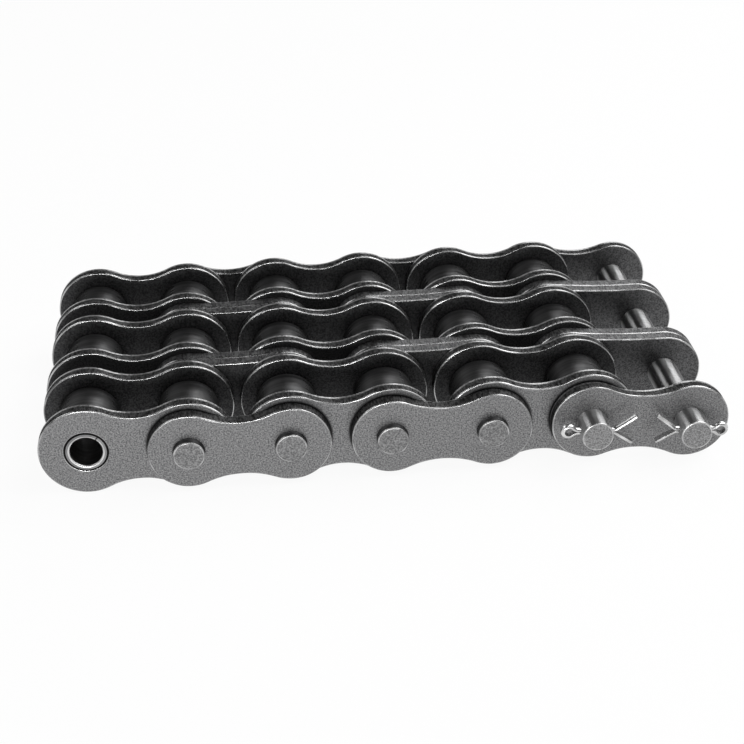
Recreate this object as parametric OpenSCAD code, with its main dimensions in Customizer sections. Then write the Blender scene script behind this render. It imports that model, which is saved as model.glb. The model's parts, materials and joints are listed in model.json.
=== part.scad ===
// Triplex roller chain, six pitches long: three roller links, two riveted outer links
// and one cottered connecting link, laid out straight on a flat surface.
// X runs along the chain, Y along the pins with the front strand at -Y, and Z is up.
// The origin is the centre of the open bush at the left end of the middle strand.

/* [Chain] */
// Distance between neighbouring pin axes
pitch = 25.4; // [25:0.1:32]
// Gap between the rounded ends of neighbouring roller links
end_gap = 1.6; // [1:0.1:3]
// Side play between a roller link and the plates beside it
side_play = 0.15; // [0.1:0.01:0.4]

/* [Plates] */
// Thickness of every link plate
plate_t = 3.25; // [2.4:0.05:4]
// Height of the outer and middle plates
outer_plate_h = 20.5; // [19:0.1:22.5]
// Depth of the waist below the crown of an inner plate
inner_waist_depth = 2.95; // [1.5:0.05:3.4]
// Depth of the waist below the crown of an outer plate
outer_waist_depth = 2.7; // [1.5:0.05:3.2]
// Depth of the waist below the crown of a middle plate
middle_waist_depth = 0.45; // [0.3:0.05:1.5]
// Hairline between the two middle plates of a pair
middle_gap = 0.14; // [0.05:0.01:0.4]
// Bevel on the outline of every plate
plate_edge = 0.35; // [0.2:0.05:0.5]

/* [Rollers and bushes] */
// Outside diameter of a roller
roller_d = 15.88; // [14.8:0.02:17]
// Clear width between the inner plates of a strand
inner_width = 15.75; // [14:0.05:18]
// End play of a roller between its plates
roller_end_play = 0.3; // [0.2:0.05:0.6]
// Outside diameter of a bush
bush_d = 11.1; // [10.4:0.05:11.8]
// Diametral clearance between a roller and its bush
roller_clearance = 0.2; // [0.16:0.02:0.4]
// Stand-out of a bush past its plates
bush_proud = 0.05; // [0.02:0.01:0.1]
// Bevel on the rim of a roller
roller_edge = 0.5; // [0.3:0.05:0.8]
// Bevel on the outside rim of a bush
bush_rim = 0.4; // [0.1:0.05:0.6]
// Lead-in bevel of a bush bore
bush_lead = 0.45; // [0.15:0.05:0.6]

/* [Pins] */
// Pin diameter
pin_d = 7.94; // [7:0.02:8.6]
// Diametral clearance between a pin and its bush
pin_clearance = 0.1; // [0.08:0.01:0.16]
// Stand-out of a riveted pin end
rivet_proud = 2; // [1.2:0.1:3]
// Stand-out of a cottered pin end
cotter_end_proud = 7; // [6:0.1:9]
// Bevel on the rim of a pin end
pin_edge = 0.4; // [0.2:0.05:0.6]

/* [Cotter pins] */
// Radius of the half-round cotter wire
wire_r = 0.95; // [0.7:0.05:1.1]
// Clearance round a cotter in its cross hole
cotter_clearance = 0.1; // [0.05:0.01:0.2]
// Gap between the two legs of a cotter
leg_gap = 0.1; // [0.06:0.02:0.3]
// Distance from the cover plate to the cotter axis
cotter_stand = 3.7; // [3:0.1:4.4]
// Inside radius of a cotter eye
eye_r = 1.3; // [0.9:0.05:1.5]
// Radius of the bends at both ends of the straight shank
bend_r = 2.2; // [1.6:0.1:2.8]
// Angle to which the upper leg is spread
upper_spread = 37; // [15:1:45]
// Angle to which the lower leg is spread
lower_spread = 32; // [15:1:45]
// Straight length of the spread upper leg
upper_leg_l = 5.7; // [2.5:0.1:7]
// Straight length of the spread lower leg
lower_leg_l = 5.1; // [2.5:0.1:7]
// Shank length past the pin before the bends
shank_past = 0.35; // [0.2:0.05:1]

/* [Hidden] */
$fn = 96;
// Overrun of the cutting bodies
over = 1;
// Overlap that lets a waist cut cross the crowned ends instead of just meeting them
waist_cross = 0.01;

inner_plate_h = pitch - end_gap;
bush_bore_d = pin_d + pin_clearance;
bush_l = inner_width + 2 * (plate_t + bush_proud);
// Face of an outer or middle plate beside a strand, from the strand's middle
side_face = bush_l / 2 + side_play;
strand_pitch = 2 * (side_face + plate_t) + middle_gap;
// Outermost plate face of an outer link, from the middle of the chain
link_face = strand_pitch + side_face + plate_t;
// The free end of the connecting link sinks until its plates rest on the surface
droop = asin((inner_plate_h - outer_plate_h) / 2 / pitch);

// Ends of the straight shank of a cotter, from the pin axis
shank_end = pin_d / 2 + shank_past;
// Height of the bend centres above the plane between the legs
bend_z = leg_gap / 2 + bend_r;
// Length and angle of the neck between the shank and the eye
neck_l = sqrt(pow(bend_r + eye_r, 2) - pow(bend_z, 2));
neck_angle = atan2(neck_l, bend_z);
// Swelling of the wire at its bends, and the lap of a straight run into a bend
bend_swell = 0.02;
wire_lap = 0.1;

strands = ["front", "middle", "back"];
sides = ["near", "far"];
cotter_sides = ["left", "right"];

NODES = concat(
    [for (link = [1:3]) for (s = strands) for (side = sides) str("inner_plate_", link, "_", s, "_", side)],
    [for (link = [1:3]) for (s = strands) str("bushes_", link, "_", s)],
    [for (pivot = [0:5]) for (s = strands) str("roller_", pivot, "_", s)],
    [for (link = [1:2]) for (side = sides) str("outer_plate_", link, "_", side)],
    [for (link = [1:2]) str("middle_plates_", link)],
    [for (link = [1:2]) str("rivet_pins_", link)],
    ["connecting_cover_plate", "connecting_back_plate", "connecting_middle_plates", "connecting_pins"],
    [for (side = cotter_sides) str("cotter_", side)]
);
node = "all";

function shown(name) = node == "all" || node == name;
function strand_y(s) = (s - 1) * strand_pitch;

// Turns a shape drawn in XY, with its thickness along Z, upright into XZ at a distance along Y
module upright(y) {
    translate([0, y, 0]) rotate([90, 0, 0]) children();
}

module at_both_pins() {
    for (x = [0, pitch]) translate([x, 0, 0]) children();
}

// Cylinder about Z from z0 to z1 with bevelled rims
module bevelled_bar(r, z0, z1, bevel) {
    rotate_extrude()
        polygon([
            [0, z0], [r - bevel, z0], [r, z0 + bevel],
            [r, z1 - bevel], [r - bevel, z1], [0, z1]
        ]);
}

// Bore about Z through a length, with its rims opened by a bevel
module bevelled_bore(r, l, bevel) {
    flare = r + bevel + over;
    end = l / 2 + over;
    rotate_extrude($fn = 240)
        polygon([
            [0, -end], [flare, -end], [r, bevel - l / 2],
            [r, l / 2 - bevel], [flare, end], [0, end]
        ]);
}

// Link plate over one pitch: crowned ends about both pin holes, drawn in to a waist between them
module link_plate(height, waist_depth, hole_d) {
    end_r = height / 2;
    waist = end_r - waist_depth;
    waist_r = (pow(pitch / 2, 2) + pow(waist, 2) - pow(end_r, 2)) / (2 * waist_depth);
    waist_y = waist + waist_r;
    reach = end_r / norm([pitch / 2, waist_y]);
    meet_x = reach * pitch / 2;
    meet_y = reach * waist_y;
    difference() {
        union() {
            at_both_pins() bevelled_bar(end_r, -plate_t / 2, plate_t / 2, plate_edge);
            linear_extrude(plate_t, center = true)
                polygon([
                    [0, 0], [meet_x, meet_y], [pitch - meet_x, meet_y],
                    [pitch, 0], [pitch - meet_x, -meet_y], [meet_x, -meet_y]
                ]);
        }
        for (side = [-1, 1])
            translate([pitch / 2, side * waist_y, 0])
                bevelled_bore(waist_r + waist_cross, plate_t, plate_edge);
        at_both_pins() cylinder(d = hole_d, h = plate_t + 2 * over, center = true);
    }
}

module inner_plate(link, s, side) {
    x = (2 * link - 2) * pitch;
    y = strand_y(s) + (2 * side - 1) * (inner_width + plate_t) / 2;
    color("dimgray")
        translate([x, 0, 0])
            upright(y) link_plate(inner_plate_h, inner_waist_depth, bush_d);
}

module bushes(link, s) {
    color("gray")
        translate([(2 * link - 2) * pitch, 0, 0])
            upright(strand_y(s))
                at_both_pins()
                    difference() {
                        bevelled_bar(bush_d / 2, -bush_l / 2, bush_l / 2, bush_rim);
                        bevelled_bore(bush_bore_d / 2, bush_l, bush_lead);
                    }
}

module roller(pivot, s) {
    roller_l = inner_width - roller_end_play;
    color("slategray")
        translate([pivot * pitch, 0, 0])
            upright(strand_y(s))
                difference() {
                    bevelled_bar(roller_d / 2, -roller_l / 2, roller_l / 2, roller_edge);
                    cylinder(d = bush_d + roller_clearance, h = roller_l + 2 * over, center = true);
                }
}

module outer_plate(y) {
    color("dimgray")
        upright(y) link_plate(outer_plate_h, outer_waist_depth, pin_d);
}

// Two pairs of middle plates, one pair between each two strands
module middle_plates() {
    color("dimgray")
        for (between = [-1, 1])
            for (side = [-1, 1])
                upright(between * strand_pitch / 2 + side * (plate_t + middle_gap) / 2)
                    link_plate(outer_plate_h, middle_waist_depth, pin_d);
}

module rivet_pins() {
    reach = link_face + rivet_proud;
    color("silver")
        upright(0) at_both_pins() bevelled_bar(pin_d / 2, -reach, reach, pin_edge);
}

// Pins riveted into the back plate, with a cross hole for a cotter in front of the cover plate
module connecting_pins() {
    color("silver")
        difference() {
            upright(0)
                at_both_pins()
                    bevelled_bar(pin_d / 2, -link_face - rivet_proud, link_face + cotter_end_proud, pin_edge);
            for (x = [0, pitch])
                translate([x, -link_face - cotter_stand, 0])
                    rotate([0, 90, 0])
                        cylinder(r = wire_r + cotter_clearance, h = pin_d + 2 * over, center = true);
        }
}

// Half-round wire section standing on a flat along the X axis, swollen a little where the wire is bent
module half_round(swell = 0) {
    intersection() {
        circle(wire_r + swell);
        translate([-2 * wire_r, -swell]) square([4 * wire_r, 2 * wire_r]);
    }
}

// Half-round wire run along X from x0 to x1, its flat at z = 0 facing down
module straight_wire(x0, x1) {
    translate([x0, 0, 0]) rotate([90, 0, 90]) linear_extrude(x1 - x0) half_round();
}

// Half-round wire bent about Y at the origin, its flat at radius r facing away from the centre
module bent_wire(r, from, sweep) {
    rotate([90, 0, 0])
        rotate_extrude(angle = sweep, start = from)
            translate([r, 0]) rotate(90) half_round(bend_swell);
}

// One leg of a cotter from its bend into the eye at -X to its spread end at +X, above the other leg
module cotter_leg(spread, leg_l) {
    lap_angle = wire_lap / bend_r * 180 / PI;
    translate([0, 0, leg_gap / 2]) straight_wire(-shank_end - wire_lap, shank_end + wire_lap);
    translate([shank_end, 0, bend_z]) {
        bent_wire(bend_r, -90, spread);
        rotate([0, -spread, 0]) translate([0, 0, -bend_r]) straight_wire(-wire_lap, leg_l);
    }
    translate([-shank_end, 0, bend_z])
        bent_wire(bend_r, -90 - neck_angle - lap_angle, neck_angle + lap_angle);
}

// Eye of a cotter, the wire bent round from one leg to the other with its flat inside
module cotter_eye() {
    translate([-shank_end - neck_l, 0, 0])
        rotate([90, 0, 0])
            rotate_extrude(angle = 180 + 2 * neck_angle, start = 90 - neck_angle)
                translate([eye_r, 0]) rotate(-90) half_round(2 * bend_swell);
}

// Cotter seen with its eye on the left for the left pin and turned about for the right pin
module cotter(side) {
    color("lightgray")
        translate([side * pitch, -link_face - cotter_stand, 0])
            mirror([side, 0, 0]) {
                cotter_eye();
                cotter_leg(upper_spread, upper_leg_l);
                mirror([0, 0, 1]) cotter_leg(lower_spread, lower_leg_l);
            }
}

module outer_link(link) {
    translate([(2 * link - 1) * pitch, 0, 0]) children();
}

module connecting_link() {
    translate([5 * pitch, 0, 0]) rotate([0, droop, 0]) children();
}

for (link = [1:3])
    for (s = [0:2]) {
        for (side = [0:1])
            if (shown(str("inner_plate_", link, "_", strands[s], "_", sides[side]))) inner_plate(link, s, side);
        if (shown(str("bushes_", link, "_", strands[s]))) bushes(link, s);
    }
for (pivot = [0:5])
    for (s = [0:2])
        if (shown(str("roller_", pivot, "_", strands[s]))) roller(pivot, s);
for (link = [1:2]) {
    for (side = [0:1])
        if (shown(str("outer_plate_", link, "_", sides[side])))
            outer_link(link) outer_plate((2 * side - 1) * (link_face - plate_t / 2));
    if (shown(str("middle_plates_", link))) outer_link(link) middle_plates();
    if (shown(str("rivet_pins_", link))) outer_link(link) rivet_pins();
}
if (shown("connecting_cover_plate")) connecting_link() outer_plate(plate_t / 2 - link_face);
if (shown("connecting_back_plate")) connecting_link() outer_plate(link_face - plate_t / 2);
if (shown("connecting_middle_plates")) connecting_link() middle_plates();
if (shown("connecting_pins")) connecting_link() connecting_pins();
for (side = [0:1])
    if (shown(str("cotter_", cotter_sides[side]))) connecting_link() cotter(side);
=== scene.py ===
import json
import math

import bmesh
import bpy
from mathutils import Matrix, Vector


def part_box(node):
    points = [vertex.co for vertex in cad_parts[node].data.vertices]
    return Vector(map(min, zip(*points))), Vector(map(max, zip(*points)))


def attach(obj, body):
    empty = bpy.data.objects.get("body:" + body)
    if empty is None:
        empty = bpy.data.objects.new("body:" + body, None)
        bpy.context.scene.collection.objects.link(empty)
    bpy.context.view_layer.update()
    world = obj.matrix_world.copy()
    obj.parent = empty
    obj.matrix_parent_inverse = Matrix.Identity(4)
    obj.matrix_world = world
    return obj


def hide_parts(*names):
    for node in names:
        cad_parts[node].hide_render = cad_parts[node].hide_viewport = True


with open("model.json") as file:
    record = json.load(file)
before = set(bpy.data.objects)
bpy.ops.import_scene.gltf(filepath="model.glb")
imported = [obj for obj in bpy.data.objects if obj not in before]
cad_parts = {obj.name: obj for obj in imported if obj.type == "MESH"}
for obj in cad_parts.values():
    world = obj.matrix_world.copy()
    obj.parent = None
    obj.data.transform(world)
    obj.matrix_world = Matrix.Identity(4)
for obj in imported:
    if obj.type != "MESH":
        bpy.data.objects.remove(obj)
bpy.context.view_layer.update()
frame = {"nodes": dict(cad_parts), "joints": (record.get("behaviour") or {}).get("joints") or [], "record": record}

mm = 0.001
touch = 0.01 * mm  # points closer than this count as one place
weld = 0.001 * mm  # points closer than this are merged, or lie on a cutting plane
sharpAngle = math.radians(60)  # edges that turn further than this are corners
pivotCount = 6
strandNames = ["front", "middle", "back"]
sideNames = ["near", "far"]

# pivots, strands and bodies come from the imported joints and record
joints = {joint["name"]: joint for joint in frame["joints"]}
pivotX = [joints[f"roller_{k}_middle_spin"]["pos_m"][0] for k in range(pivotCount)]
strandY = {name: joints[f"roller_0_{name}_spin"]["pos_m"][1] for name in strandNames}
bodyOf = {node: body for body, group in frame["record"]["behaviour"]["bodies"].items() for node in group}
pitch = pivotX[1] - pivotX[0]
innerLow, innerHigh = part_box("inner_plate_1_front_near")
outerLow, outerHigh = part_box("outer_plate_1_near")
innerHeight = innerHigh.z - innerLow.z
outerHeight = outerHigh.z - outerLow.z
plateThickness = outerHigh.y - outerLow.y
floorZ = innerLow.z
# the free end of the connecting link rests on the table
droop = math.asin((innerHeight - outerHeight) / 2 / pitch)
print("frame loaded:", len(frame["nodes"]), "nodes, pitch", round(pitch / mm, 2), "mm")


# hand tools shared by the pieces

def clearSelection():
    if bpy.context.object and bpy.context.object.mode != "OBJECT":
        bpy.ops.object.mode_set(mode="OBJECT")
    bpy.ops.object.select_all(action="DESELECT")


def pickOnly(piece):
    clearSelection()
    piece.select_set(True)
    bpy.context.view_layer.objects.active = piece


def startEdit(piece):
    pickOnly(piece)
    bpy.ops.object.mode_set(mode="EDIT")
    bpy.context.tool_settings.mesh_select_mode = (False, True, False)
    bpy.ops.mesh.select_all(action="DESELECT")


def startPoints():
    # edit mode on the points of a new primitive, all of them selected
    bpy.ops.object.mode_set(mode="EDIT")
    bpy.context.tool_settings.mesh_select_mode = (True, False, False)
    bpy.ops.mesh.select_all(action="SELECT")


def endEdit():
    bpy.ops.object.mode_set(mode="OBJECT")


def selectEdges(piece, test):
    mesh = bmesh.from_edit_mesh(piece.data)
    for edge in mesh.edges:
        edge.select = test(edge)
    mesh.select_flush_mode()
    bmesh.update_edit_mesh(piece.data)


def selectFaces(piece, test):
    bpy.context.tool_settings.mesh_select_mode = (False, False, True)
    mesh = bmesh.from_edit_mesh(piece.data)
    for face in mesh.faces:
        face.select = test(face)
    mesh.select_flush_mode()
    bmesh.update_edit_mesh(piece.data)


def paintFaces(piece, test, slot):
    startEdit(piece)
    selectFaces(piece, test)
    piece.active_material_index = slot
    bpy.ops.object.material_slot_assign()
    endEdit()


def bevelEdges(piece, test, width, segments, material=-1):
    startEdit(piece)
    selectEdges(piece, test)
    bpy.ops.mesh.bevel(offset=width, segments=segments, profile=0.5, affect="EDGES",
                       clamp_overlap=False, material=material)
    endEdit()


def applyModifier(piece, kind, **settings):
    modifier = piece.modifiers.new(kind.lower(), kind)
    for key, value in settings.items():
        setattr(modifier, key, value)
    pickOnly(piece)
    bpy.ops.object.modifier_apply(modifier=modifier.name)


def cutAway(piece, cutter):
    applyModifier(piece, "BOOLEAN", operation="DIFFERENCE", solver="EXACT", object=cutter)
    bpy.data.objects.remove(cutter)


def addBar(radius, y0, y1, sides, x=0.0, filled=True):
    clearSelection()
    bpy.ops.mesh.primitive_cylinder_add(vertices=sides, radius=radius, depth=y1 - y0,
                                        end_fill_type="NGON" if filled else "NOTHING",
                                        location=(x, (y0 + y1) / 2, 0), rotation=(math.pi / 2, 0, 0))
    bpy.ops.object.transform_apply(location=True, rotation=True, scale=True)
    return bpy.context.object


def facesAlong(face):
    # a face that looks along the pins, not a wall or a side
    return abs(face.normal.y) > 0.5


shading = {"smoothAngle": 40, "tubeAngle": 50, "faceWeight": 80}


def finishShading(piece, angle=shading["smoothAngle"]):
    pickOnly(piece)
    bpy.ops.object.shade_smooth_by_angle(angle=math.radians(angle))
    applyModifier(piece, "WEIGHTED_NORMAL", keep_sharp=True, weight=shading["faceWeight"])


def placeCopy(master, name, matrix):
    piece = master.copy()
    piece.data = master.data.copy()
    piece.name = name
    piece.data.name = name
    piece.data.transform(matrix)
    bpy.context.scene.collection.objects.link(piece)
    return piece


def joinPieces(parts, name):
    clearSelection()
    for part in parts:
        part.select_set(True)
    bpy.context.view_layer.objects.active = parts[0]
    bpy.ops.object.join()
    parts[0].name = name
    return parts[0]


def addSteels(piece, steels):
    for steel in steels:
        piece.data.materials.append(steel)


def slotOf(piece, steel):
    return piece.data.materials.find(steel.name)


def standFor(piece, node):
    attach(piece, bodyOf[node])
    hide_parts(node)


# places along the chain

def rollerLinkX(link, end=0):
    return pivotX[2 * link - 2 + end]


def rivetedLinkX(link, end=0):
    return pivotX[2 * link - 1 + end]


def linkPlace(x, y):
    return Matrix.Translation((x, y, 0))


def connectingPlace(y):
    return Matrix.Translation((pivotX[-1], y, 0)) @ Matrix.Rotation(droop, 4, "Y")


def middleOf(node):
    low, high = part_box(node)
    return (low + high) / 2


# shader groups

def newGroup(name, inputs, outputs):
    group = bpy.data.node_groups.new(name, "ShaderNodeTree")
    for label, value in inputs.items():
        socket = group.interface.new_socket(name=label, in_out="INPUT", socket_type="NodeSocketFloat")
        socket.default_value = value
    for label in outputs:
        group.interface.new_socket(name=label, in_out="OUTPUT", socket_type="NodeSocketFloat")
    source = group.nodes.new("NodeGroupInput")
    sink = group.nodes.new("NodeGroupOutput")
    return group, source, sink


def addNode(tree, kind, **settings):
    node = tree.nodes.new(kind)
    for key, value in settings.items():
        setattr(node, key, value)
    return node


def math2(tree, operation, a, b):
    node = addNode(tree, "ShaderNodeMath", operation=operation)
    for socket, value in zip(node.inputs, (a, b)):
        if isinstance(value, (int, float)):
            socket.default_value = value
        else:
            tree.links.new(value, socket)
    return node.outputs[0]


def noise(tree, vector, scale, detail, roughness):
    node = addNode(tree, "ShaderNodeTexNoise")
    node.inputs["Detail"].default_value = detail
    node.inputs["Roughness"].default_value = roughness
    tree.links.new(vector, node.inputs["Vector"])
    tree.links.new(scale, node.inputs["Scale"])
    return node.outputs["Fac"]


def spread(tree, value, low, high):
    node = addNode(tree, "ShaderNodeMapRange", interpolation_type="SMOOTHSTEP")
    node.inputs["From Min"].default_value = low
    node.inputs["From Max"].default_value = high
    tree.links.new(value, node.inputs["Value"])
    return node.outputs["Result"]


peening = {
    "grain": {"detail": 3.0, "roughness": 0.6, "contrast": (0.3, 0.7), "share": 0.6},
    "clouds": {"detail": 4.0, "roughness": 0.55, "contrast": (0.32, 0.68)},
    "pits": {"detail": 2.0, "roughness": 0.5, "contrast": (0.35, 0.6), "share": 0.4, "scale": 0.33}}


def makeGrainGroup():
    # fine peened grain with larger cloudy patches over it
    group, source, sink = newGroup("peenedGrain", {"Grain Size": 2600.0, "Cloud Size": 90.0},
                                   ["Grain", "Clouds", "Height"])
    place = addNode(group, "ShaderNodeTexCoord").outputs["Object"]
    pitSize = math2(group, "MULTIPLY", source.outputs["Grain Size"], peening["pits"]["scale"])
    sizes = {"grain": source.outputs["Grain Size"], "clouds": source.outputs["Cloud Size"], "pits": pitSize}
    raw = {}
    clear = {}
    for name, part in peening.items():
        raw[name] = noise(group, place, sizes[name], part["detail"], part["roughness"])
        clear[name] = spread(group, raw[name], *part["contrast"])
    grainHeight = math2(group, "MULTIPLY", raw["grain"], peening["grain"]["share"])
    pitHeight = math2(group, "MULTIPLY", clear["pits"], peening["pits"]["share"])
    group.links.new(clear["grain"], sink.inputs["Grain"])
    group.links.new(clear["clouds"], sink.inputs["Clouds"])
    group.links.new(math2(group, "ADD", grainHeight, pitHeight), sink.inputs["Height"])
    return group


# rings go round a turned or ground bar, shear marks across the punched wall of a plate
ringMarks = {"size": 1800.0, "stretch": (0.04, 1.0, 0.04), "detail": 3.0, "roughness": 0.65,
             "contrast": (0.3, 0.7)}
wallMarks = {"size": 2400.0, "stretch": (1.0, 0.25, 1.0), "detail": 3.0, "roughness": 0.6,
             "contrast": (0.36, 0.66)}


def makeMarksGroup(name, sizeLabel, maskLabel, marks):
    # grain drawn out by its stretch, where a small scale gives long marks
    group, source, sink = newGroup(name, {sizeLabel: marks["size"]}, [maskLabel, "Height"])
    stretch = addNode(group, "ShaderNodeMapping")
    stretch.inputs["Scale"].default_value = marks["stretch"]
    group.links.new(addNode(group, "ShaderNodeTexCoord").outputs["Object"], stretch.inputs["Vector"])
    height = noise(group, stretch.outputs["Vector"], source.outputs[sizeLabel],
                   marks["detail"], marks["roughness"])
    group.links.new(spread(group, height, *marks["contrast"]), sink.inputs[maskLabel])
    group.links.new(height, sink.inputs["Height"])
    return group


def makePivotFilmGroup():
    # painted shade: a dark ring round each pivot as wide as an outer plate's crown, fading out just past its
    # outline onto the inner plate
    group, source, sink = newGroup(
        "pivotFilm", {"First Pivot": 0.0, "Pitch": 1.0, "Ring Radius": 0.4, "Ring Fade": 0.05}, ["Film"])
    place = addNode(group, "ShaderNodeSeparateXYZ")
    group.links.new(addNode(group, "ShaderNodeTexCoord").outputs["Object"], place.inputs["Vector"])
    along = math2(group, "SUBTRACT", place.outputs["X"], source.outputs["First Pivot"])
    halfPitch = math2(group, "MULTIPLY", source.outputs["Pitch"], 0.5)
    aside = math2(group, "PINGPONG", along, halfPitch)  # distance to the nearest pivot along the chain
    height = place.outputs["Z"]
    asideSquare = math2(group, "MULTIPLY", aside, aside)
    heightSquare = math2(group, "MULTIPLY", height, height)
    reach = math2(group, "SQRT", math2(group, "ADD", asideSquare, heightSquare), 0.0)
    past = math2(group, "SUBTRACT", reach, source.outputs["Ring Radius"])
    faded = spread(group, math2(group, "DIVIDE", past, source.outputs["Ring Fade"]), 0.0, 1.0)
    # no painted shade round the pivots before the first one
    pastOpenEnd = math2(group, "GREATER_THAN", math2(group, "ADD", along, halfPitch), 0.0)
    paintedShade = math2(group, "MULTIPLY", math2(group, "SUBTRACT", 1.0, faded), pastOpenEnd)
    group.links.new(paintedShade, sink.inputs["Film"])
    return group


# steels

def addEffect(tree, spec):
    effect = addNode(tree, "ShaderNodeGroup", node_tree=spec["group"])
    for label, value in spec["groupValues"].items():
        effect.inputs[label].default_value = value
    return effect


def blendColor(tree, mask, under, over):
    node = addNode(tree, "ShaderNodeMix", data_type="RGBA")
    if isinstance(under, tuple):
        node.inputs["A"].default_value = (*under, 1)
    else:
        tree.links.new(under, node.inputs["A"])
    node.inputs["B"].default_value = (*over, 1)
    tree.links.new(mask, node.inputs["Factor"])
    return node.outputs["Result"]


def makeSteel(name, spec):
    # steel with a grain or mark group driving its colour, roughness and bump
    material = bpy.data.materials.new(name)
    material.use_nodes = True
    tree = material.node_tree
    shader = tree.nodes["Principled BSDF"]
    shader.inputs["Metallic"].default_value = spec.get("metallic", 1.0)
    shader.inputs["IOR"].default_value = 1.5
    if "turned" in spec:  # gloss drawn out along the bar by fine turning marks
        shader.inputs["Anisotropic"].default_value = spec["turned"]
        shader.inputs["Anisotropic Rotation"].default_value = 0.25  # a quarter turn
        around = addNode(tree, "ShaderNodeTangent", direction_type="UV_MAP", uv_map="UVMap")
        tree.links.new(around.outputs["Tangent"], shader.inputs["Tangent"])
    if "edgeTint" in spec:  # dims the steel where it is seen at a low angle
        shader.inputs["Specular Tint"].default_value = (*spec["edgeTint"], 1)
    effect = addEffect(tree, spec)
    color = blendColor(tree, effect.outputs[spec["mask"]], spec["dark"], spec["light"])
    if "paintedShade" in spec:  # painted shade over the steel where its group says
        paintedShade = addEffect(tree, spec["paintedShade"])
        color = blendColor(tree, paintedShade.outputs["Film"], color, spec["paintedShade"]["color"])
    tree.links.new(color, shader.inputs["Base Color"])
    rough = addNode(tree, "ShaderNodeMapRange")
    rough.inputs["To Min"].default_value = spec["roughness"][0]
    rough.inputs["To Max"].default_value = spec["roughness"][1]
    tree.links.new(effect.outputs[spec["roughMask"]], rough.inputs["Value"])
    tree.links.new(rough.outputs["Result"], shader.inputs["Roughness"])
    bump = addNode(tree, "ShaderNodeBump")
    bump.inputs["Strength"].default_value = spec["bump"]
    bump.inputs["Distance"].default_value = spec["bumpDepth"]
    tree.links.new(effect.outputs["Height"], bump.inputs["Height"])
    tree.links.new(bump.outputs["Normal"], shader.inputs["Normal"])
    return material


peenedGrain = makeGrainGroup()
turnedRings = makeMarksGroup("turnedRings", "Ring Size", "Rings", ringMarks)
shearMarks = makeMarksGroup("shearMarks", "Mark Size", "Marks", wallMarks)
pivotFilm = makePivotFilmGroup()

# plate faces: plain outside, with a ring of painted shade on inner plates round the outer plates, and painted
# shade on faces between the plates
plateFinish = {
    "group": peenedGrain, "groupValues": {"Grain Size": 2600.0, "Cloud Size": 90.0},
    "mask": "Grain", "dark": (0.082, 0.082, 0.084), "light": (0.29, 0.29, 0.292),
    "roughMask": "Clouds", "roughness": (0.42, 0.5), "bump": 0.35, "bumpDepth": 0.03 * mm}
# painted shade: a dark ring on the inner plates' outer faces round each outer plate's outline
contactShadeRing = {
    "group": pivotFilm, "color": (0.02, 0.02, 0.02),
    "groupValues": {"First Pivot": pivotX[1], "Pitch": pitch,
                    "Ring Radius": outerHeight / 2, "Ring Fade": 0.8 * mm}}
plateFaceSteel = makeSteel("plateFaceSteel", plateFinish)
innerFaceShadedSteel = makeSteel("innerFaceShadedSteel", {**plateFinish, "paintedShade": contactShadeRing})
# painted shade: darker copies of the face finish for faces between the plates, a less dark one in the open end
# link
plateInsideShadeSteel = makeSteel("plateInsideShadeSteel", {
    **plateFinish, "dark": (0.024, 0.024, 0.025), "light": (0.09, 0.09, 0.091), "roughness": (0.52, 0.62)})
plateEndShadeSteel = makeSteel("plateEndShadeSteel", {
    **plateFinish, "dark": (0.042, 0.042, 0.043), "light": (0.145, 0.145, 0.147), "roughness": (0.36, 0.46)})

# plate edges: rolled rims and hole rims in a lighter steel as a painted highlight, dull punched walls and the
# burnished land beside them
plateRimHighlightSteel = makeSteel("plateRimHighlightSteel", {
    "group": peenedGrain, "groupValues": {"Grain Size": 1500.0, "Cloud Size": 160.0},
    "mask": "Clouds", "dark": (0.17, 0.17, 0.171), "light": (0.5, 0.5, 0.502),
    "roughMask": "Grain", "roughness": (0.22, 0.32), "bump": 0.2, "bumpDepth": 0.02 * mm})
plateWallSteel = makeSteel("plateWallSteel", {
    "group": shearMarks, "groupValues": {"Mark Size": 2600.0}, "edgeTint": (0.35, 0.35, 0.35),
    "mask": "Marks", "dark": (0.025, 0.025, 0.025), "light": (0.115, 0.115, 0.116),
    "roughMask": "Marks", "roughness": (0.5, 0.6), "bump": 0.4, "bumpDepth": 0.05 * mm})
plateLandSteel = makeSteel("plateLandSteel", {
    "group": shearMarks, "groupValues": {"Mark Size": 2400.0},
    "mask": "Marks", "dark": (0.17, 0.17, 0.171), "light": (0.42, 0.42, 0.422),
    "roughMask": "Marks", "roughness": (0.3, 0.42), "bump": 0.25, "bumpDepth": 0.03 * mm})
middleWallSteel = makeSteel("middleWallSteel", {
    "group": shearMarks, "groupValues": {"Mark Size": 2800.0}, "edgeTint": (0.45, 0.45, 0.45),
    "mask": "Marks", "dark": (0.052, 0.052, 0.053), "light": (0.205, 0.205, 0.207),
    "roughMask": "Marks", "roughness": (0.4, 0.5), "bump": 0.4, "bumpDepth": 0.05 * mm})

# rollers and bushes
rollerSteel = makeSteel("rollerSteel", {
    "group": turnedRings, "groupValues": {"Ring Size": 1500.0}, "metallic": 0.98, "edgeTint": (0.1, 0.1, 0.1),
    "mask": "Rings", "dark": (0.088, 0.088, 0.089), "light": (0.148, 0.148, 0.149),
    "roughMask": "Rings", "roughness": (0.38, 0.46), "bump": 0.1, "bumpDepth": 0.01 * mm})
bushFinish = {
    "group": turnedRings, "groupValues": {"Ring Size": 2200.0},
    "mask": "Rings", "dark": (0.18, 0.18, 0.182), "light": (0.3, 0.3, 0.302),
    "roughMask": "Rings", "roughness": (0.28, 0.36), "bump": 0.1, "bumpDepth": 0.01 * mm}
bushSteel = makeSteel("bushSteel", bushFinish)
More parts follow.
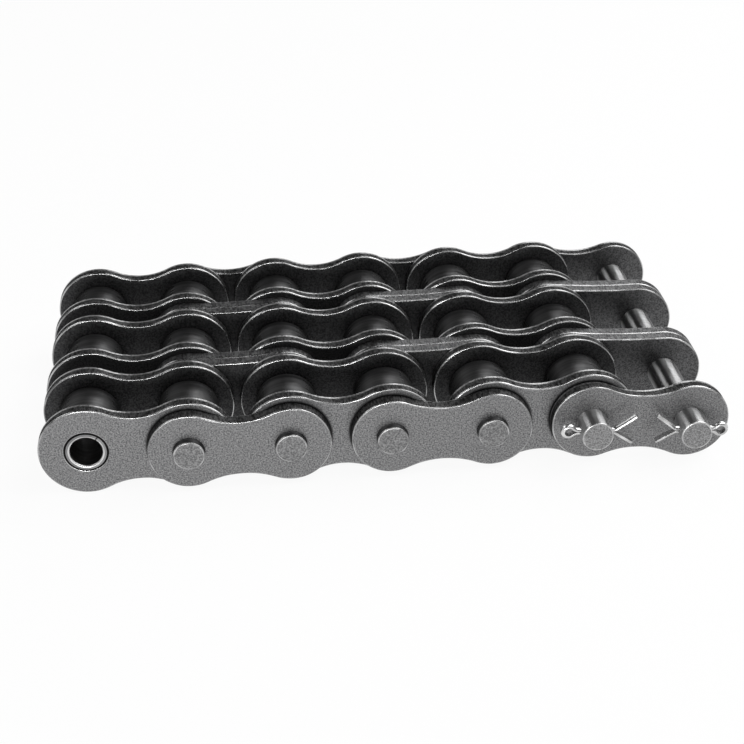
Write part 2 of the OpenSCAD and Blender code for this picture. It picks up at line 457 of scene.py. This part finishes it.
# painted shade: near-black steel on the outer rims of rollers and bushes, where they meet the plates
rimShadeSteel = makeSteel("rimShadeSteel", {
    **bushFinish, "dark": (0.008, 0.008, 0.008), "light": (0.02, 0.02, 0.02), "roughness": (0.5, 0.6)})
# painted highlight: a bright ring of steel on the lead-in round the bore
bushLeadHighlightSteel = makeSteel("bushLeadHighlightSteel", {
    "group": peenedGrain, "groupValues": {"Grain Size": 2200.0, "Cloud Size": 500.0},
    "mask": "Clouds", "dark": (0.5, 0.5, 0.5), "light": (0.7, 0.7, 0.7),
    "roughMask": "Grain", "roughness": (0.3, 0.4), "bump": 0.1, "bumpDepth": 0.01 * mm})

# pins, rivet ends and cotters
pinFinish = {
    "group": turnedRings, "groupValues": {"Ring Size": 5200.0}, "turned": 1.0, "edgeTint": (0.15, 0.15, 0.15),
    "mask": "Rings", "dark": (0.28, 0.28, 0.282), "light": (0.4, 0.4, 0.402),
    "roughMask": "Rings", "roughness": (0.32, 0.38), "bump": 0.05, "bumpDepth": 0.01 * mm}
pinSteel = makeSteel("pinSteel", pinFinish)
rivetSideSteel = makeSteel("rivetSideSteel", {
    **pinFinish, "dark": (0.08, 0.08, 0.082), "light": (0.16, 0.16, 0.162), "roughness": (0.34, 0.42),
    "turned": 0.8})
# painted highlight: lighter steel on the rounded rims of the pin ends, softer on the rivets
pinRimHighlightSteel = makeSteel("pinRimHighlightSteel", {
    "group": peenedGrain, "groupValues": {"Grain Size": 2400.0, "Cloud Size": 400.0},
    "mask": "Clouds", "dark": (0.36, 0.36, 0.362), "light": (0.62, 0.62, 0.62),
    "roughMask": "Grain", "roughness": (0.26, 0.36), "bump": 0.1, "bumpDepth": 0.01 * mm})
rivetRimHighlightSteel = makeSteel("rivetRimHighlightSteel", {
    "group": peenedGrain, "groupValues": {"Grain Size": 2400.0, "Cloud Size": 400.0},
    "mask": "Clouds", "dark": (0.16, 0.16, 0.161), "light": (0.5, 0.5, 0.502),
    "roughMask": "Grain", "roughness": (0.32, 0.42), "bump": 0.25, "bumpDepth": 0.02 * mm})
endFinish = {
    "group": peenedGrain, "groupValues": {"Grain Size": 2500.0, "Cloud Size": 200.0},
    "mask": "Grain", "dark": (0.1, 0.1, 0.101), "light": (0.288, 0.288, 0.29),
    "roughMask": "Clouds", "roughness": (0.36, 0.46), "bump": 0.25, "bumpDepth": 0.03 * mm}
rivetEndSteel = makeSteel("rivetEndSteel", endFinish)
pinEndSteel = makeSteel("pinEndSteel", {
    **endFinish, "dark": (0.115, 0.115, 0.116), "light": (0.345, 0.345, 0.347)})
cotterSteel = makeSteel("cotterSteel", {
    "group": peenedGrain, "groupValues": {"Grain Size": 2400.0, "Cloud Size": 300.0},
    "mask": "Clouds", "dark": (0.46, 0.46, 0.46), "light": (0.72, 0.72, 0.72),
    "roughMask": "Grain", "roughness": (0.24, 0.32), "bump": 0.1, "bumpDepth": 0.02 * mm})
print("materials ready")


# link plates: the outline is spun arc by arc, thickened, drilled and its rims rolled over

plateSizes = {
    "inner": {"height": innerHeight, "waistDepth": 2.95 * mm, "hole": 11.1 * mm, "holeRim": 0.22 * mm},
    "outer": {"height": outerHeight, "waistDepth": 2.7 * mm, "hole": 7.94 * mm, "holeRim": 0.12 * mm},
    "middle": {"height": outerHeight, "waistDepth": 0.45 * mm, "hole": 7.94 * mm, "holeRim": 0.12 * mm}}
plateRims = {"nearRoll": 0.34 * mm, "farRoll": 0.3 * mm, "land": 0.65 * mm, "segments": 3,
             "crownSteps": 72, "waistSteps": 24, "holeSides": 64, "holeSegments": 2, "holeSlack": 0.05 * mm}
plateSlots = {"near": 0, "rim": 1, "wall": 2, "far": 3, "land": 4}


def makePlate(kind):
    size = plateSizes[kind]
    rims = plateRims
    endR = size["height"] / 2
    waist = endR - size["waistDepth"]
    waistR = ((pitch / 2) ** 2 + waist ** 2 - endR ** 2) / (2 * size["waistDepth"])
    waistZ = waist + waistR
    meet = math.atan2(waistZ, pitch / 2)  # where crown and waist arcs run into each other
    front = -plateThickness / 2
    back = plateThickness / 2
    clearSelection()
    bpy.ops.mesh.primitive_plane_add(size=endR)
    plate = bpy.context.object
    startPoints()
    bpy.ops.mesh.merge(type="CENTER")
    bpy.ops.transform.translate(value=(endR * math.cos(meet), front, endR * math.sin(meet)))
    crown = (2 * math.pi - 2 * meet, rims["crownSteps"])
    hollow = (2 * meet - math.pi, rims["waistSteps"])
    arcs = [(0, 0, *crown), (pitch / 2, -waistZ, *hollow), (pitch, 0, *crown), (pitch / 2, waistZ, *hollow)]
    for x, z, sweep, steps in arcs:
        bpy.ops.mesh.spin(steps=steps, angle=sweep, center=(x, front, z), axis=(0, 1, 0))
    bpy.ops.mesh.select_all(action="SELECT")
    bpy.ops.mesh.remove_doubles(threshold=weld)
    bpy.ops.mesh.edge_face_add()
    bpy.ops.mesh.extrude_region_move(TRANSFORM_OT_translate={"value": (0, plateThickness, 0)})
    bpy.ops.mesh.select_all(action="SELECT")
    bpy.ops.mesh.normals_make_consistent(inside=False)
    landStart = back - rims["farRoll"] - rims["land"]  # the land runs along the far side of the wall
    bpy.ops.mesh.bisect(plane_co=(0, landStart, 0), plane_no=(0, 1, 0), threshold=weld)
    endEdit()
    for x in (0, pitch):
        cutAway(plate, addBar(size["hole"] / 2, -plateThickness, plateThickness, rims["holeSides"], x))
    addSteels(plate, (plateFaceSteel, plateRimHighlightSteel, plateWallSteel, plateInsideShadeSteel, plateLandSteel))

    def onRim(edge, y, holes):
        if len(edge.link_faces) != 2 or any(abs(v.co.y - y) > touch for v in edge.verts):
            return False
        if edge.calc_face_angle(0) < sharpAngle:
            return False
        point = (edge.verts[0].co + edge.verts[1].co) / 2
        reach = min(math.hypot(point.x - x, point.z) for x in (0, pitch))
        return (reach < size["hole"] / 2 + rims["holeSlack"]) == holes

    def onLand(face):
        return not facesAlong(face) and face.calc_center_median().y > landStart

    paintFaces(plate, lambda face: not facesAlong(face), plateSlots["wall"])
    paintFaces(plate, onLand, plateSlots["land"])
    paintFaces(plate, lambda face: facesAlong(face) and face.normal.y > 0, plateSlots["far"])
    for y, roll in ((front, rims["nearRoll"]), (back, rims["farRoll"])):
        bevelEdges(plate, lambda edge: onRim(edge, y, False), roll, rims["segments"], plateSlots["rim"])
    for y in (front, back):
        bevelEdges(plate, lambda edge: onRim(edge, y, True), size["holeRim"],
                   rims["holeSegments"], plateSlots["rim"])
    finishShading(plate)
    return plate


def setSteel(plate, slotNames, steel):
    for slotName in slotNames:
        plate.data.materials[plateSlots[slotName]] = steel


def showFaces(plate, near, far, outside=plateFaceSteel, inside=plateInsideShadeSteel):
    # faces that look out keep the plain finish, those between the plates get a darker copy of it as painted shade
    setSteel(plate, ["near"], outside if near else inside)
    setSteel(plate, ["far"], outside if far else inside)


plateMasters = {kind: makePlate(kind) for kind in plateSizes}
for link in (1, 2, 3):
    for strand in strandNames:
        for side in sideNames:
            node = f"inner_plate_{link}_{strand}_{side}"
            place = linkPlace(rollerLinkX(link), middleOf(node).y)
            plate = placeCopy(plateMasters["inner"], f"innerPlate{link}.{strand}.{side}", place)
            row = (strand, side)
            showFaces(plate, row == ("front", "near"), row == ("back", "far"), outside=innerFaceShadedSteel)
            standFor(plate, node)
for link in (1, 2):
    for side in sideNames:
        node = f"outer_plate_{link}_{side}"
        place = linkPlace(rivetedLinkX(link), middleOf(node).y)
        plate = placeCopy(plateMasters["outer"], f"outerPlate{link}.{side}", place)
        showFaces(plate, side == "near", side == "far")
        if side == "near":
            setSteel(plate, ["land"], plateWallSteel)  # this land lies against the inner plate and gets the dull wall steel as painted shade along that edge
        standFor(plate, node)
for node, name, near in (("connecting_cover_plate", "coverPlate", True),
                         ("connecting_back_plate", "connectingBackPlate", False)):
    plate = placeCopy(plateMasters["outer"], name, connectingPlace(middleOf(node).y))
    showFaces(plate, near, not near, inside=plateEndShadeSteel)
    standFor(plate, node)

# middle plates stand in pairs between the strands
strandPitch = strandY["middle"] - strandY["front"]
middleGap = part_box("middle_plates_1")[1].y * 2 - strandPitch - 2 * plateThickness
middleYs = [between * strandPitch / 2 + side * (plateThickness + middleGap) / 2
            for between in (-1, 1) for side in (-1, 1)]
# the middle plates carry painted shade on both faces
for node, name, placer, paintedShade in (
        ("middle_plates_1", "middlePlates1", lambda y: linkPlace(rivetedLinkX(1), y), plateInsideShadeSteel),
        ("middle_plates_2", "middlePlates2", lambda y: linkPlace(rivetedLinkX(2), y), plateInsideShadeSteel),
        ("connecting_middle_plates", "connectingMiddlePlates", connectingPlace, plateEndShadeSteel)):
    parts = [placeCopy(plateMasters["middle"], name + str(i), placer(y)) for i, y in enumerate(middleYs)]
    for part in parts:
        showFaces(part, False, False, inside=paintedShade)
        setSteel(part, ["wall", "land"], middleWallSteel)
    standFor(joinPieces(parts, name), node)
print("plates placed")


# rollers: open tubes with softly rounded rims, the outer rims in painted shade

rollerLow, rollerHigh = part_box("roller_0_middle")
rollerSize = {"radius": (rollerHigh.z - rollerLow.z) / 2, "half": (rollerHigh.y - rollerLow.y) / 2,
              "wall": 2.29 * mm, "rim": 0.42 * mm, "rimSegments": 4,
              "boreRim": 0.25 * mm, "boreSegments": 2, "sides": 96}


def makeTube(radius, half, wall, sides):
    tube = addBar(radius, -half, half, sides, filled=False)
    applyModifier(tube, "SOLIDIFY", thickness=wall, offset=-1.0, use_even_offset=True, use_rim=True)
    return tube


def rimTest(half, radiusLow, radiusHigh):
    def test(edge):
        if any(abs(abs(v.co.y) - half) > touch for v in edge.verts):
            return False
        if not all(radiusLow < math.hypot(v.co.x, v.co.z) < radiusHigh for v in edge.verts):
            return False
        return edge.verts[0].co.y * edge.verts[1].co.y > 0  # both points at the same end
    return test


def makeRoller():
    size = rollerSize
    roller = makeTube(size["radius"], size["half"], size["wall"], size["sides"])
    addSteels(roller, (rollerSteel, rimShadeSteel))
    split = size["radius"] - size["wall"] / 2
    bevelEdges(roller, rimTest(size["half"], split, math.inf), size["rim"],
               size["rimSegments"], slotOf(roller, rimShadeSteel))
    bevelEdges(roller, rimTest(size["half"], 0, split), size["boreRim"], size["boreSegments"])
    finishShading(roller, shading["tubeAngle"])
    return roller


rollerMaster = makeRoller()
for pivot in range(pivotCount):
    for strand in strandNames:
        place = linkPlace(pivotX[pivot], strandY[strand])
        roller = placeCopy(rollerMaster, f"roller{pivot}.{strand}", place)
        standFor(roller, f"roller_{pivot}_{strand}")
print("rollers placed")


# bushes: strip curled into a tube, with its butt seam showing at the upper right

bushLow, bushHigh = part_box("bushes_1_middle")
bushSize = {"radius": (bushHigh.z - bushLow.z) / 2, "half": (bushHigh.y - bushLow.y) / 2, "bore": 4.02 * mm,
            "boreRim": 0.52 * mm, "outerRim": 0.48 * mm, "rimSegments": 3, "sides": 96,
            "seam": 0.28 * mm, "seamAngle": 52, "seamStart": 0.6}


def makeBush():
    size = bushSize
    bush = makeTube(size["radius"], size["half"], size["radius"] - size["bore"], size["sides"])
    addSteels(bush, (bushSteel, rimShadeSteel, bushLeadHighlightSteel))
    split = (size["radius"] + size["bore"]) / 2
    # the bore's lead-in takes the painted highlight steel
    bevelEdges(bush, rimTest(size["half"], 0, split), size["boreRim"],
               size["rimSegments"], slotOf(bush, bushLeadHighlightSteel))
    # the outer rim takes the painted shade steel
    bevelEdges(bush, rimTest(size["half"], split, math.inf), size["outerRim"],
               size["rimSegments"], slotOf(bush, rimShadeSteel))
    clearSelection()
    bpy.ops.mesh.primitive_cube_add(size=1)
    slit = bpy.context.object  # from inside the bore to well past the wall and both ends
    slit.scale = (size["radius"] * 2, size["half"] * 3, size["seam"])
    slit.location = (size["radius"] + size["bore"] * size["seamStart"], 0, 0)
    bpy.ops.object.transform_apply(location=True, rotation=False, scale=True)
    slit.data.transform(Matrix.Rotation(-math.radians(size["seamAngle"]), 4, "Y"))
    cutAway(bush, slit)
    finishShading(bush, shading["tubeAngle"])
    return bush


bushMaster = makeBush()
for link in (1, 2, 3):
    for strand in strandNames:
        parts = []
        for end in (0, 1):
            place = linkPlace(rollerLinkX(link, end), strandY[strand])
            parts.append(placeCopy(bushMaster, f"bush{link}.{strand}.{end}", place))
        standFor(joinPieces(parts, f"bushes{link}.{strand}"), f"bushes_{link}_{strand}")
print("bushes placed")


# pins: ground bars, riveted over at their ends or cross-drilled for a cotter

pinLow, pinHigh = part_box("rivet_pins_1")
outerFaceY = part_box("outer_plate_1_far")[1].y
pinSize = {"radius": (pinHigh.z - pinLow.z) / 2, "end": pinHigh.y, "rim": 0.38 * mm, "segments": 3,
           "sides": 72, "cottered": 7.0 * mm, "cotterStand": 3.7 * mm, "crossHole": 1.05 * mm,
           "crossSides": 32}
cotterY = -outerFaceY - pinSize["cotterStand"]


def makePin(front, back, sideSteel, endSteel, rimSteel):
    size = pinSize
    pin = addBar(size["radius"], front, back, size["sides"])

    def atEnd(edge):
        return any(all(abs(v.co.y - end) < touch for v in edge.verts) for end in (front, back))

    addSteels(pin, (sideSteel, endSteel, rimSteel))
    paintFaces(pin, facesAlong, slotOf(pin, endSteel))
    bevelEdges(pin, atEnd, size["rim"], size["segments"], slotOf(pin, rimSteel))
    return pin


def drillCross(pin):
    # right through the pin, level with the cotter
    size = pinSize
    clearSelection()
    bpy.ops.mesh.primitive_cylinder_add(vertices=size["crossSides"], radius=size["crossHole"],
                                        depth=size["radius"] * 3, location=(0, cotterY, 0),
                                        rotation=(0, math.pi / 2, 0))
    bpy.ops.object.transform_apply(location=True, rotation=True, scale=True)
    cutAway(pin, bpy.context.object)


rivetPin = makePin(-pinSize["end"], pinSize["end"], rivetSideSteel, rivetEndSteel, rivetRimHighlightSteel)
finishShading(rivetPin)
for link in (1, 2):
    parts = []
    for end in (0, 1):
        place = linkPlace(rivetedLinkX(link, end), 0)
        parts.append(placeCopy(rivetPin, f"rivetPin{link}.{end}", place))
    standFor(joinPieces(parts, f"rivetPins{link}"), f"rivet_pins_{link}")

cotteredEnd = -outerFaceY - pinSize["cottered"]
connectingPin = makePin(cotteredEnd, pinSize["end"], pinSteel, pinEndSteel, pinRimHighlightSteel)
drillCross(connectingPin)
finishShading(connectingPin)
parts = []
for end in (0, 1):
    place = connectingPlace(0) @ linkPlace(end * pitch, 0)
    parts.append(placeCopy(connectingPin, f"connectingPin{end}", place))
standFor(joinPieces(parts, "connectingPins"), "connecting_pins")
print("pins placed")


# cotters: one length of half-round wire, swept from leg to leg through the shank and round the eye

cotterSize = {"wire": 0.95 * mm, "halfGap": 0.05 * mm, "shank": pinSize["radius"] + 0.35 * mm,
              "bend": 2.2 * mm, "neck": 2.6 * mm, "eye": 1.1 * mm, "turnSteps": 12, "eyeSteps": 48,
              "upperAngle": 37, "upperLeg": 5.7 * mm, "lowerAngle": 32, "lowerLeg": 5.1 * mm,
              "edge": 0.1 * mm, "edgeSegments": 2, "wireSides": 32}


def makeCotter():
    size = cotterSize
    shank = size["shank"]
    bendZ = size["halfGap"] + size["bend"]
    neckZ = size["halfGap"] + size["neck"]
    neckX = math.sqrt((size["neck"] + size["eye"]) ** 2 - neckZ ** 2)
    neck = math.atan2(neckX, neckZ)
    upTurn = math.radians(size["upperAngle"])
    downTurn = math.radians(size["lowerAngle"])
    upRun = Vector((math.cos(upTurn), 0, math.sin(upTurn))) * size["upperLeg"]
    downRun = Vector((math.cos(downTurn), 0, -math.sin(downTurn))) * size["lowerLeg"]
    bendEnd = Vector((shank + size["bend"] * math.sin(upTurn), 0, bendZ - size["bend"] * math.cos(upTurn)))
    tip = bendEnd + upRun
    roundSide = Vector((-math.sin(upTurn), 0, math.cos(upTurn)))
    clearSelection()
    bpy.ops.mesh.primitive_circle_add(vertices=size["wireSides"], radius=size["wire"], location=tip,
                                      rotation=(0, math.pi / 2 - upTurn, 0))
    cotter = bpy.context.object
    bpy.ops.object.transform_apply(location=True, rotation=True, scale=True)
    startPoints()
    bpy.ops.mesh.bisect(plane_co=tip, plane_no=roundSide, clear_inner=True, threshold=weld)
    mesh = bmesh.from_edit_mesh(cotter.data)
    for vert in mesh.verts:
        vert.select = abs((vert.co - tip).dot(roundSide)) < weld
    mesh.select_flush_mode()
    bmesh.update_edit_mesh(cotter.data)
    bpy.ops.mesh.edge_face_add()  # the flat closes the half-round
    bpy.ops.mesh.select_all(action="SELECT")

    def run(move):
        bpy.ops.mesh.extrude_region_move(TRANSFORM_OT_translate={"value": move})

    def turn(x, z, sweep, steps=size["turnSteps"]):
        bpy.ops.mesh.spin(steps=steps, angle=sweep, center=(x, 0, z), axis=(0, 1, 0))

    run(-upRun)
    turn(shank, bendZ, -upTurn)
    run((-2 * shank, 0, 0))
    turn(-shank, neckZ, -neck)
    turn(-shank - neckX, 0, math.pi + 2 * neck, size["eyeSteps"])
    turn(-shank, -neckZ, -neck)
    run((2 * shank, 0, 0))
    turn(shank, -bendZ, -downTurn)
    run(downRun)
    bpy.ops.mesh.select_all(action="SELECT")
    bpy.ops.mesh.fill_holes(sides=0)
    bpy.ops.mesh.select_all(action="SELECT")
    bpy.ops.mesh.normals_make_consistent(inside=False)
    endEdit()
    bevelEdges(cotter, lambda edge: edge.calc_face_angle(0) > sharpAngle, size["edge"], size["edgeSegments"])
    addSteels(cotter, [cotterSteel])
    finishShading(cotter)
    return cotter


cotterMaster = makeCotter()
cotterPlace = connectingPlace(cotterY)
turnedAbout = linkPlace(pitch, 0) @ Matrix.Rotation(math.pi, 4, "Z")
standFor(placeCopy(cotterMaster, "cotterLeft", cotterPlace), "cotter_left")
standFor(placeCopy(cotterMaster, "cotterRight", cotterPlace @ turnedAbout), "cotter_right")
print("cotters placed")

for master in (*plateMasters.values(), rollerMaster, bushMaster, rivetPin, connectingPin, cotterMaster):
    bpy.data.objects.remove(master)


# floor, light and camera

room = {"radius": 2.5, "wall": 0.9, "wallSides": 64, "paint": 0.85, "roughness": 0.9, "glow": 0.94,
        "world": 0.035}


def makePale():
    # white to the eye and in reflections, plain pale paint to all other light
    material = bpy.data.materials.new("paleRoom")
    material.use_nodes = True
    tree = material.node_tree
    shader = tree.nodes["Principled BSDF"]
    shader.inputs["Base Color"].default_value = (room["paint"], room["paint"], room["paint"], 1)
    shader.inputs["Roughness"].default_value = room["roughness"]
    glow = addNode(tree, "ShaderNodeEmission")
    path = addNode(tree, "ShaderNodeLightPath")
    seen = math2(tree, "MAXIMUM", path.outputs["Is Camera Ray"], path.outputs["Is Glossy Ray"])
    seen = math2(tree, "MAXIMUM", seen, path.outputs["Is Transmission Ray"])
    mix = addNode(tree, "ShaderNodeMixShader")
    tree.links.new(math2(tree, "MULTIPLY", seen, room["glow"]), mix.inputs["Fac"])
    tree.links.new(shader.outputs["BSDF"], mix.inputs[1])
    tree.links.new(glow.outputs["Emission"], mix.inputs[2])
    tree.links.new(mix.outputs["Shader"], tree.nodes["Material Output"].inputs["Surface"])
    return material


def makeRoom():
    pale = makePale()
    clearSelection()
    bpy.ops.mesh.primitive_plane_add(size=room["radius"] * 2, location=(0, 0, floorZ))
    floor = bpy.context.object
    floor.name = "floor"
    clearSelection()
    bpy.ops.mesh.primitive_cylinder_add(vertices=room["wallSides"], radius=room["radius"], depth=room["wall"],
                                        end_fill_type="NOTHING", location=(0, 0, floorZ + room["wall"] / 2))
    wall = bpy.context.object
    wall.name = "backdrop"
    for piece in (floor, wall):
        piece.data.materials.append(pale)
    world = bpy.data.worlds.new("dimRoom")
    bpy.context.scene.world = world
    world.use_nodes = True
    background = world.node_tree.nodes["Background"]
    background.inputs["Color"].default_value = (1, 1, 1, 1)
    background.inputs["Strength"].default_value = room["world"]


lamps = {
    "softLeft": {"place": (-0.42, 0.08, 0.5), "length": 0.8, "width": 0.3, "power": 1.7},
    "softRight": {"place": (0.55, 0.08, 0.5), "length": 0.8, "width": 0.4, "power": 4.2},
    "softBack": {"place": (0.36, 0.9, 0.58), "length": 0.36, "width": 0.3, "power": 1.6},
    "softFront": {"place": (0.3, -0.28, 0.55), "length": 0.5, "width": 0.15, "power": 1.3},
    "fillFront": {"place": (-0.05, -0.85, 0.05), "length": 0.3, "width": 0.12, "power": 2.8}}


def makeLamps():
    aim = Vector((3 * pitch, 0, 0))  # the middle of the chain
    for name, lamp in lamps.items():
        data = bpy.data.lights.new(name, "AREA")
        data.shape = "RECTANGLE"
        data.size = lamp["length"]
        data.size_y = lamp["width"]
        data.energy = lamp["power"]
        light = bpy.data.objects.new(name, data)
        light.location = lamp["place"]
        light.rotation_euler = (aim - light.location).to_track_quat("-Z", "Y").to_euler()
        bpy.context.scene.collection.objects.link(light)


cameraView = {"azimuth": -5.35, "elevation": 29.59, "roll": -1.33, "distance": 16.76 * pitch,
              "target": (2.9727 * pitch, 0, -0.23 * pitch), "lens": 74.4, "sensor": 36, "clip": 0.01}


def makeCamera():
    azimuth, elevation, roll = (math.radians(cameraView[key]) for key in ("azimuth", "elevation", "roll"))
    level = math.cos(elevation)
    back = Vector((math.sin(azimuth) * level, -math.cos(azimuth) * level, math.sin(elevation)))
    right = Vector((math.cos(azimuth), math.sin(azimuth), 0))
    up = back.cross(right)
    turnedRight = right * math.cos(roll) + up * math.sin(roll)
    turnedUp = up * math.cos(roll) - right * math.sin(roll)
    data = bpy.data.cameras.new("photoCamera")
    data.lens = cameraView["lens"]
    data.sensor_width = cameraView["sensor"]
    data.clip_start = cameraView["clip"]
    camera = bpy.data.objects.new("photoCamera", data)
    place = Matrix.Translation(Vector(cameraView["target"]) + back * cameraView["distance"])
    camera.matrix_world = place @ Matrix((turnedRight, turnedUp, back)).transposed().to_4x4()
    bpy.context.scene.collection.objects.link(camera)
    bpy.context.scene.camera = camera


makeRoom()
makeLamps()
makeCamera()
bpy.context.scene.view_settings.view_transform = "Standard"
print("stage ready")
